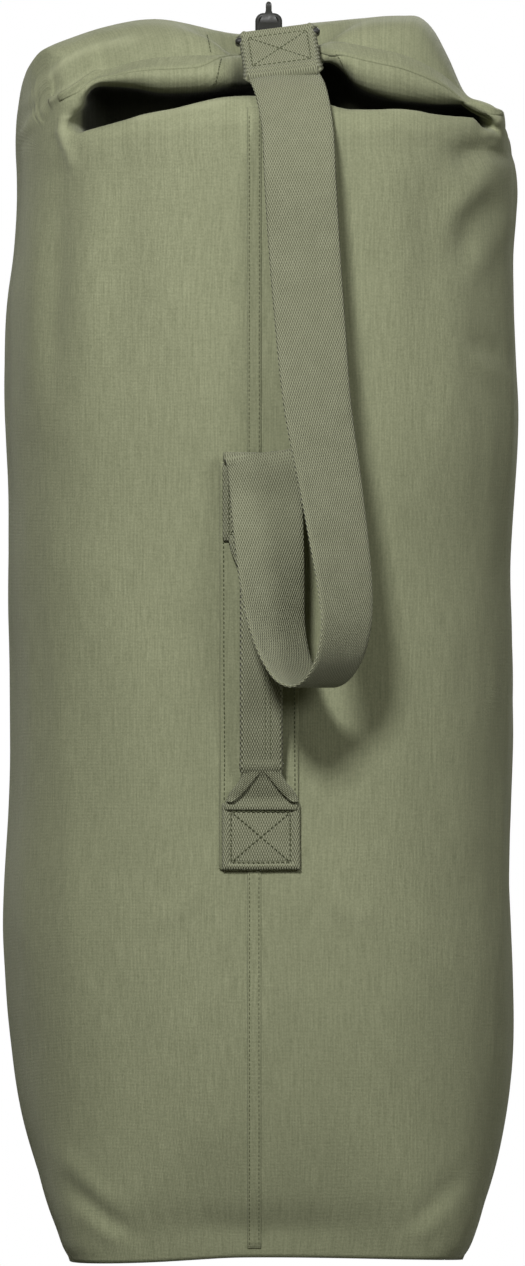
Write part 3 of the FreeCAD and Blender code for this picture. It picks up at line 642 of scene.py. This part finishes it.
def black_steel():
    m = new_material("black_japanned_steel")
    c = node(m, "ShaderNodeTexCoord")
    n = noise(m, c.outputs["Object"], 350.0, 4.0)
    rough = remap(m, n, 0.3, 0.7, 0.32, 0.55)
    tone = tint(m, n, linear("#0A0A06"), linear("#15160D"))
    bump = node(m, "ShaderNodeBump", None, Strength=0.25, Distance=0.0003, Height=n).outputs[0]
    return finish(m, tone, rough, bump, Specular_IOR_Level=0.35)


thread, steel = thread_finish(), black_steel()


def dress(ob, mat, body="bag"):
    ob.data.materials.clear()
    ob.data.materials.append(mat)
    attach(ob, body)
    return ob


# %% [markdown]
# The shell becomes one mesh. The two layers round the staple get their grommet
# holes, and Solidify gives the cloth its thickness.

# %% The bag's shell
n_rows = bag_points.shape[0]
faces = grid_faces(n_rows, cols, True)
mid_pts = bag_points.reshape(-1, 3)[faces].mean(1)
hole = (np.hypot(mid_pts[:, 0] - STAPLE_X, mid_pts[:, 1] - STAPLE_Y) < 13.0) & (mid_pts[:, 2] > 870)
around = lengths(np.concatenate([shell, shell[:, :1]], axis=1), 1)[70]
up = np.concatenate([lengths(np.stack(rings + [shell[0]]), 0)[:-1, 5] - 150.0, lengths(shell, 0)[:, 5]])
u_grid = np.broadcast_to(around[:-1], (n_rows, cols))
v_grid = np.broadcast_to(up[:, None], (n_rows, cols))
uv = np.stack([u_grid, v_grid], -1).reshape(-1, 2)[faces]
last = faces[:, 1] % cols == 0
uv[last, 1, 0] = around[-1]
uv[last, 2, 0] = around[-1]
keep = ~hole
bag = mesh_object("bag_shell", bag_points, faces[keep], uv[keep])
# Both painted values go on the points: rubbed wear with a painted highlight, and painted crease shade.
for label, values in (("wear_and_highlight", wear_and_highlight), ("painted_crease_shade", painted_crease_shade)):
    layer = bag.data.attributes.new(label, "FLOAT", "POINT")
    painted = np.concatenate([np.zeros((base_rows, cols)), values])
    layer.data.foreach_set("value", painted.reshape(-1).astype(np.float32))
wall = bag.modifiers.new("cloth", "SOLIDIFY")
wall.thickness, wall.offset = 1.1 * mm, -1.0
dress(bag, duck)
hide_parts("body_tube", "base_panel", "base_lining", "base_seam_tape", "mouth_front_flap",
            "mouth_back_flap", "mouth_tuck_left", "mouth_tuck_right")
print("shell faces", len(faces))


# %% [markdown]
# The lip ends in a hem: a thicker strip over the shell's last rows.

# %% Rolled hem of the lip
hem_width = 7
hem = closed_sheet("lip_hem", shell[-hem_width:, 3:front_count - 3], -1.5, 1.1)
dress(hem, duck)


# %% [markdown]
# What is sewn to the front takes its place from the shell's own surface.

# %% Places on the shell
front_cols = slice(0, front_count)


def on_shell(xs, zs, off=0.0):
    """Points on the front of the shell at given x and z, and their normals."""
    part = shell[:side_rows + 12, front_cols]
    lines = np.stack([np.stack([np.interp(xs, r[:, 0], r[:, k]) for k in range(3)], -1) for r in part])
    out = np.stack([np.stack([np.interp(zs, lines[:, j, 2], lines[:, j, k]) for k in range(3)], -1)
                    for j in range(len(xs))], axis=1)
    n = normals(out)
    return out + n * off, n


def patch(name, x0, x1, z0, z1, low, high, mat, nx=19, pitch=6.0):
    xs = np.linspace(x0, x1, nx)
    zs = np.linspace(z0, z1, max(5, int((z1 - z0) / pitch) + 1))
    pts, _ = on_shell(xs, zs)
    return dress(closed_sheet(name, pts, low, high), mat)


def stitches(name, runs, body="bag", pitch=3.4, length=2.5, radius=0.42):
    """Thread stitches along polylines: each is a small six-sided spindle that
    rises from the cloth. runs are (points, normals) pairs."""
    verts, quads, base = [], [], 0
    ring = np.linspace(0, 2 * np.pi, 6, endpoint=False)
    s = np.array([-0.5, -0.36, 0.0, 0.36, 0.5])
    fat = np.array([0.15, 0.8, 1.0, 0.8, 0.15])
    spindle = len(s) * len(ring)
    for pts, nrm in runs:
        run = lengths(pts, 0)
        count = max(1, int(run[-1] / pitch))
        at = (np.arange(count) + 0.5) * run[-1] / count
        p = np.stack([np.interp(at, run, pts[:, k]) for k in range(3)], -1)
        q = np.stack([np.interp(at + 0.5, run, pts[:, k]) for k in range(3)], -1)
        q0 = np.stack([np.interp(at - 0.5, run, pts[:, k]) for k in range(3)], -1)
        d = q - q0
        d /= np.linalg.norm(d, axis=-1, keepdims=True)
        n = np.stack([np.interp(at, run, nrm[:, k]) for k in range(3)], -1)
        n = n - d * (n * d).sum(-1, keepdims=True)
        n /= np.linalg.norm(n, axis=-1, keepdims=True)
        w = np.cross(d, n)
        climb = radius * (0.9 * fat - 0.55)
        c = p[:, None] + d[:, None] * (s * length)[None, :, None] + n[:, None] * climb[None, :, None]
        wide = np.cos(ring)[None, None, :, None] * fat[None, :, None, None] * radius
        tall = np.sin(ring)[None, None, :, None] * fat[None, :, None, None] * radius
        v = c[:, :, None] + w[:, None, None] * wide + n[:, None, None] * tall
        verts.append(v.reshape(-1, 3))
        g = grid_faces(len(s), len(ring), True)[:, ::-1]
        block = (np.arange(count) * spindle)[:, None, None] + g[None]
        quads.append(block.reshape(-1, 4) + base)
        base += count * spindle
    ob = mesh_object(name, np.concatenate(verts), np.concatenate(quads))
    return dress(ob, thread, body)


def shell_run(corners, off, per=2.0):
    """A polyline of (x, z) corners laid on the shell, with its normals. Between the
    points of a small grid on the shell the values are bilinear."""
    runs = []
    for a, b in zip(corners, corners[1:]):
        count = max(4, int(math.dist(a, b) / per))
        f = np.linspace(0, 1, count)
        x, z = mix(a[0], b[0], f), mix(a[1], b[1], f)
        pts = np.empty((count, 3))
        nrm = np.empty((count, 3))
        xs = np.linspace(min(a[0], b[0]) - 1, max(a[0], b[0]) + 1, 9)
        zs = np.linspace(min(a[1], b[1]) - 3, max(a[1], b[1]) + 3, 24)
        g, n = on_shell(xs, zs)
        fx = np.clip((x - xs[0]) / (xs[-1] - xs[0]) * 8, 0, 7.999)
        fz = np.clip((z - zs[0]) / (zs[-1] - zs[0]) * 23, 0, 22.999)
        i, j = fz.astype(int), fx.astype(int)
        u, v = (fz - i)[:, None], (fx - j)[:, None]
        for src, dst in ((g, pts), (n, nrm)):
            dst[:] = ((1 - u) * (1 - v) * src[i, j] + (1 - u) * v * src[i, j + 1]
                      + u * (1 - v) * src[i + 1, j] + u * v * src[i + 1, j + 1])
        nrm /= np.linalg.norm(nrm, axis=-1, keepdims=True)
        runs.append((pts + nrm * off, nrm))
    return runs


# %% [markdown]
# ## Seam, strip and sewn anchors
# A felled seam is a narrow double fold with two rows of stitches. Below it a long
# strip of canvas spreads the load of the strap and the handle.

# %% Seam and strip
seam_top = 846.0
patch("felled_seam_upper", -10.2, -1.0, 596.0, seam_top + 6, -0.3, 0.9, duck, 7)
patch("felled_seam_lower", -10.2, -1.0, 12.0, 292.0, -0.3, 0.7, duck, 7)
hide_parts("felled_seam")
seam_runs = []
for x in (-9.4, -2.0):
    seam_runs += shell_run([(x, 598), (x, 700), (x, seam_top)], 1.0)
for x in (-9.2, -2.2):
    seam_runs += shell_run([(x, 14), (x, 150), (x, 290)], 0.7)
stitches("seam_thread", seam_runs, radius=0.3)
strip = patch("reinforcement_strip_canvas", -30.0, 26.0, 292.0, 590.5, -0.2, 2.2, duck)
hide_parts("reinforcement_strip")
stitches("strip_thread", shell_run([(-28.2, 586), (-28.0, 440), (-27.6, 342)], 2.3)
         + shell_run([(24.0, 586), (24.0, 440), (24.4, 342)], 2.3))
upper = patch("strap_anchor_webbing", -27.4, 23.4, 534.0, 590.0, 2.2, 4.9, webbing)
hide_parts("strap_anchor", "strap_anchor_stitching")
ax0, ax1, az0, az1 = -28.2, 27.2, 292.0, 339.5
anchor_x = np.linspace(ax0, ax1, 57)
anchor_z = np.linspace(az0, az1, 49)
anchor_pts, _ = on_shell(anchor_x, anchor_z)
from_edge = np.minimum(np.minimum(anchor_x - ax0, ax1 - anchor_x)[None, :],
                       np.minimum(anchor_z - az0, az1 - anchor_z)[:, None])
anchor_high = (4.3 + 1.2 * np.exp(-(((from_edge - 2.2) / 1.5) ** 2))
               - 0.6 * np.exp(-(((from_edge - 5.0) / 0.9) ** 2)) + 0.3 * step(from_edge, 6, 16))
lower = dress(closed_sheet("handle_anchor_webbing", anchor_pts, 2.2, anchor_high), webbing)
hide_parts("handle_anchor_lower", "handle_anchor_stitching")


def box_cross(x0, x1, z0, z1, off):
    """A stitched rectangle with both its diagonals."""
    ring = shell_run([(x0, z0), (x1, z0), (x1, z1), (x0, z1), (x0, z0)], off)
    rising = shell_run([(x0 + 1, z0 + 1), (x1 - 1, z1 - 1)], off)
    falling = shell_run([(x0 + 1, z1 - 1), (x1 - 1, z0 + 1)], off + 0.1)
    return ring + rising + falling


stitches("anchor_thread", box_cross(-24.0, 20.0, 538.0, 586.0, 5.1)
         + box_cross(-22.4, 20.8, 297.0, 334.0, 5.2))


# %% [markdown]
# Each side of the mouth has a square patch sewn inside, which shows as a short row
# of stitches. A ray from the front finds the cloth there.

# %% Patch stitches
outer = BVHTree.FromPolygons((bag_points.reshape(-1, 3)).tolist(), faces[keep].tolist())


def seen_run(a, b, off, per=1.5):
    """Points of a line of (x, z) where a ray from the front meets the cloth."""
    count = max(3, int(math.dist(a, b) / per))
    pts, nrm = [], []
    for f in np.linspace(0, 1, count):
        x, z = mix(a[0], b[0], f), mix(a[1], b[1], f)
        place, n, _, _ = outer.ray_cast(Vector((x, -400, z)), Vector((0, 1, 0)))
        if place is None:
            continue
        n = np.array(n) * (1 if n.y < 0 else -1)
        pts.append(np.array(place) + n * off)
        nrm.append(n)
    return np.array(pts), np.array(nrm)


PATCHES = [[(-30, 889), (-35, 868)], [(52, 897), (59, 886), (65, 873)],
           [(-41, 909), (-38, 894)], [(32, 913), (32.5, 910)]]
patch_runs = [seen_run(p, q, 0.5) for line in PATCHES for p, q in zip(line, line[1:])]
stitches("patch_thread", patch_runs, pitch=3.0, radius=0.35)

# %% [markdown]
# ## Shoulder strap
# One length of webbing. It rises from its anchor, folds over, hangs down as a loop
# and comes up in front, over the lip, to the tab at the top. The band follows a
# smooth line through the stations; each has the turn of its width about Z.

# %% Strap
STRAP = [(-2, -202.2, 591.6, 0), (-2, -203.4, 595.8, 0), (-2, -206.6, 597.2, 0),
         (-0.5, -210.2, 593.7, 0), (3, -215.1, 565, 3), (5.5, -225.3, 530, 15),
         (8, -229.6, 497, 28), (11.5, -232.6, 468, 39), (18, -238.3, 446, 46),
         (27, -244.6, 431, 50), (36.5, -251.1, 426.5, 52), (46.5, -258.1, 431, 51),
         (56, -264.8, 446, 49), (61.5, -267.2, 470, 46), (60.5, -264.1, 500, 40),
         (56, -257.9, 535, 34), (50, -250.7, 575, 28), (41, -243, 630, 20), (35.5, -232.8, 690, 12),
         (31, -222.9, 750, 6), (28, -215.5, 800, 3), (26, -198.1, 838.6, 2),
         (20.8, -179.6, 865.6, 0), (15.9, -165.1, 876.6, 0)]
WEB, WEB_T = 50.8, 2.2


def band(stations, width, count, cols=15):
    """Grid of a flat band: centres on a smooth line, and the width kept square to it."""
    table = np.asarray(stations, float)
    run = np.concatenate([[0], np.cumsum(np.linalg.norm(np.diff(table[:, :3], axis=0), axis=1))])
    at = np.linspace(0, run[-1], count)
    c = np.stack([smooth(np.stack([run, table[:, k]], 1), at) for k in range(3)], -1)
    turn = np.radians(smooth(np.stack([run, table[:, 3]], 1), at))
    w = np.stack([np.cos(turn), np.sin(turn), 0 * turn], -1)
    d = np.gradient(c, axis=0)
    d /= np.linalg.norm(d, axis=-1, keepdims=True)
    w = w - d * (w * d).sum(-1, keepdims=True)
    w /= np.linalg.norm(w, axis=-1, keepdims=True)
    s = np.linspace(-0.5, 0.5, cols) * width
    return c[:, None] + w[:, None] * s[None, :, None]


strap_grid = band(STRAP, WEB, 300)
strap = closed_sheet("shoulder_strap_webbing", strap_grid, -WEB_T / 2, WEB_T / 2)
dress(strap, webbing, "shoulder_strap")
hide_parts("strap_webbing")

# %% [markdown]
# The tab at the strap's upper end: a stiff sewn cover, thick at its rolled lower
# hem and at the fold round the bail, pressed flat between by a box stitch.

# %% Tab
tab_low = np.array([15.93, -165.05, 876.71])
tab_dir = np.array([-5.0, 33.0, 33.5])
tab_dir /= np.linalg.norm(tab_dir)
tab_side = np.array([0.99146, 0.0193, 0.12897])
tab_len, tab_w = 46.0, 51.6
rows_t, cols_t = 70, 61
v = np.linspace(0, 1, rows_t)
u = np.linspace(-0.5, 0.5, cols_t)
tab_grid = tab_low + tab_dir * (v[:, None, None] * tab_len) + tab_side * (u[None, :, None] * tab_w)
across_tab = np.abs(2 * u[None, :])
half = (3.0 + 1.3 * np.exp(-(((v - 0.05) / 0.035) ** 2)) + 1.1 * np.exp(-(((v - 0.135) / 0.03) ** 2))
        + 1.4 * step(v, 0.84, 1.0))
edge_roll = 0.9 * step(across_tab, 0.86, 0.95) * (1 - step(across_tab, 0.97, 1.0))
edge_dip = 0.5 * np.exp(-(((across_tab - 0.83) / 0.035) ** 2))
sewn = step(v, 0.18, 0.24)[:, None] * (1 - step(v, 0.84, 0.9))[:, None]
half = half[:, None] + edge_roll - edge_dip * sewn
tab = dress(closed_sheet("strap_tab_cover", tab_grid, -half, half), webbing, "shoulder_strap")
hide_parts("strap_tab", "strap_tab_stitching")
tab_n = np.cross(tab_side, tab_dir)


def tab_run(corners, off):
    out = []
    for a, b in zip(corners, corners[1:]):
        f = np.linspace(0, 1, 30)[:, None]
        p = (tab_low + tab_dir * (mix(a[1], b[1], f) * tab_len)
             + tab_side * (mix(a[0], b[0], f) * tab_w)) + tab_n * off
        out.append((p, np.broadcast_to(tab_n, p.shape)))
    return out


box = [(-0.42, 0.22), (0.42, 0.22), (0.42, 0.88), (-0.42, 0.88), (-0.42, 0.22)]
stitches("tab_thread", tab_run(box, 3.2) + tab_run([(-0.4, 0.24), (0.4, 0.86)], 3.2)
         + tab_run([(-0.4, 0.86), (0.4, 0.24)], 3.3), body="shoulder_strap")

# %% [markdown]
# ## Carry handle
# Webbing folded in half along its length. It stands off the bag between its two
# anchors and opens to full width where it is sewn down.

# %% Handle
hz = np.linspace(336.0, 536.0, 81)
hx = -0.5
face, _ = on_shell(np.array([hx - 2, hx + 2]), hz)
face_y = face[:, 0, 1]
lift_h = np.clip((hz - 345) / (521 - 345), 0, 1)
bow = 21.0 * np.sin(math.pi * lift_h) ** 0.85
half_w = 13.6 + 12.5 * (1 - step(hz, 338, 363)) + 9.0 * step(hz, 502, 534)
u = np.linspace(-1, 1, 25)
open_part = 1 - step(hz, 358, 366)
handle_grid = np.stack([hx + half_w[:, None] * u[None, :],
                        np.broadcast_to((face_y - 5.6 - bow)[:, None], (len(hz), len(u))),
                        np.broadcast_to(hz[:, None], (len(hz), len(u)))], -1)
thick = 2.5 - 1.4 * open_part - 0.9 * step(hz, 508, 516)
groove = 0.5 * np.exp(-(((u - 0.22) / 0.05) ** 2)) + 0.5 * np.exp(-(((u - 0.5) / 0.05) ** 2))
crown = thick[:, None] * (1 - 0.25 * np.abs(u[None, :]) ** 6) - groove[None, :] * (1 - open_part)[:, None]
crown = crown + 1.1 * np.exp(-(((hz - 368.0) / 3.2) ** 2))[:, None]
handle = closed_sheet("carry_handle_webbing", handle_grid, -thick[:, None], crown)
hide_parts("handle_grip", "handle_spread_lower", "handle_spread_upper")


def flap(side):
    """One side of the webbing folded forward: from a narrow end at the anchor to
    half the grip's width where the two meet."""
    v = np.linspace(0, 1, 22)[:, None]
    w = np.linspace(0, 1, 9)[None, :]
    z = mix(341.5, 365.0, v) + 0 * w
    outer = mix(26.0, 13.4, step(v, 0, 0.95)) * side
    inner = mix(21.5, 0.9, v ** 0.85) * side
    x = hx + 0.9 + mix(outer, inner, w)
    behind = np.interp(z[:, 0], hz, face_y - 5.6 - bow)[:, None]
    y = behind - mix(2.6, 1.2, v) * np.sin(np.pi * np.clip(w * 0.62 + 0.08, 0, 1)) - 0.7
    grid = np.stack([x, y + 0 * z, z], -1)
    if side < 0:
        return closed_sheet("handle_flap_left", grid, -0.75, 0.75)
    return closed_sheet("handle_flap_right", grid[:, ::-1], -0.75, 0.75)


def grip_lines():
    runs = []
    for k in (0.22, 0.5):
        z = np.linspace(366, 506, 120)
        y = np.interp(z, hz, face_y - 5.6 - bow) - 2.1
        p = np.stack([hx + 13.6 * k + 0 * z, y, z], -1)
        runs.append((p, np.broadcast_to(np.array([0.0, -1.0, 0.0]), p.shape)))
    return runs


handle_parts = [handle, flap(-1), flap(1)]
for part in handle_parts:
    part.data.materials.append(webbing)
    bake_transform(part)
stitches("grip_thread", grip_lines(), body="carry_handle", radius=0.35)

# %% [markdown]
# ## Metal
# The grommets, staple, bail and snap hook keep their CAD shape. They are steel with
# a baked black coat.

# %% Metal
METAL = ["grommet_front", "grommet_back", "grommet_side", "grommet_washer_front",
         "grommet_washer_back", "grommet_washer_side", "staple_loop", "staple_plate",
         "staple_backing", "staple_rivets", "strap_bail", "hook_body", "gate_rivet", "gate_tongue"]
for name in METAL:
    for s in bpy.data.objects[name].material_slots:
        s.material = steel

# %% [markdown]
# ## Light and camera
# The camera, and glossy and transmitted rays, see the surround as white. Other rays
# get a weak warm light that is stronger from above.

# %% Surround
world = bpy.data.worlds.new("surround")
bpy.context.scene.world = world
world.use_nodes = True
world.node_tree.nodes.clear()
path = node(world, "ShaderNodeLightPath").outputs
seen = combine(world, "MAXIMUM", path["Is Camera Ray"], path["Is Transmission Ray"])
seen = combine(world, "MAXIMUM", seen, path["Is Glossy Ray"])
direction = node(world, "ShaderNodeTexCoord").outputs["Generated"]
sky = node(world, "ShaderNodeSeparateXYZ", None, Vector=direction).outputs["Z"]
level = remap(world, sky, -0.6, 0.9, 0.04, 0.16)
plain = node(world, "ShaderNodeBackground", None, Color=linear("#FFFAD8"), Strength=level).outputs[0]
white = node(world, "ShaderNodeBackground", None, Color=(1, 1, 1, 1), Strength=1.0).outputs[0]
both = node(world, "ShaderNodeMixShader", None, i0=seen, i1=plain, i2=white).outputs[0]
node(world, "ShaderNodeOutputWorld", None, Surface=both)


# %% [markdown]
# A soft key lamp stands in front, high and a little to the left. A weaker one fills
# from the right, and one lights the back.

# %% Lamps
def lamp(name, place, target, size, power):
    data = bpy.data.lights.new(name, "AREA")
    data.shape, data.size, data.energy = "DISK", size, power
    ob = bpy.data.objects.new(name, data)
    bpy.context.scene.collection.objects.link(ob)
    ob.location = place
    ob.rotation_euler = (Vector(target) - Vector(place)).to_track_quat("-Z", "Y").to_euler()


lamp("key", (-0.62, -2.85, 2.45), (0, 0, 0.55), 0.6, 104)
lamp("right", (1.9, -3.2, 1.6), (0, 0, 0.6), 1.1, 34)
lamp("rear", (0.6, 2.8, 2.2), (0, 0, 0.5), 1.4, 40)

# %% [markdown]
# A long lens, far off, keeps the bag's lines straight.

# %% Camera
camera = bpy.data.objects.new("camera", bpy.data.cameras.new("camera"))
bpy.context.scene.collection.objects.link(camera)
camera.data.sensor_fit = "VERTICAL"
camera.data.sensor_height = 36.0
distance = 14.0
camera.data.lens = 36.0 * distance / 0.937
camera.location = (0.0004, -distance - 0.1, 0.4655)
camera.rotation_euler = (math.radians(90), 0, 0)
bpy.context.scene.camera = camera
bpy.context.scene.view_settings.view_transform = "Standard"

# %% [markdown]
# The box of the finished model is printed, in metres.

# %% Size of the finished model, and the end
low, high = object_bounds()
print("visual box", [round(v, 4) for v in (*low, *high)])
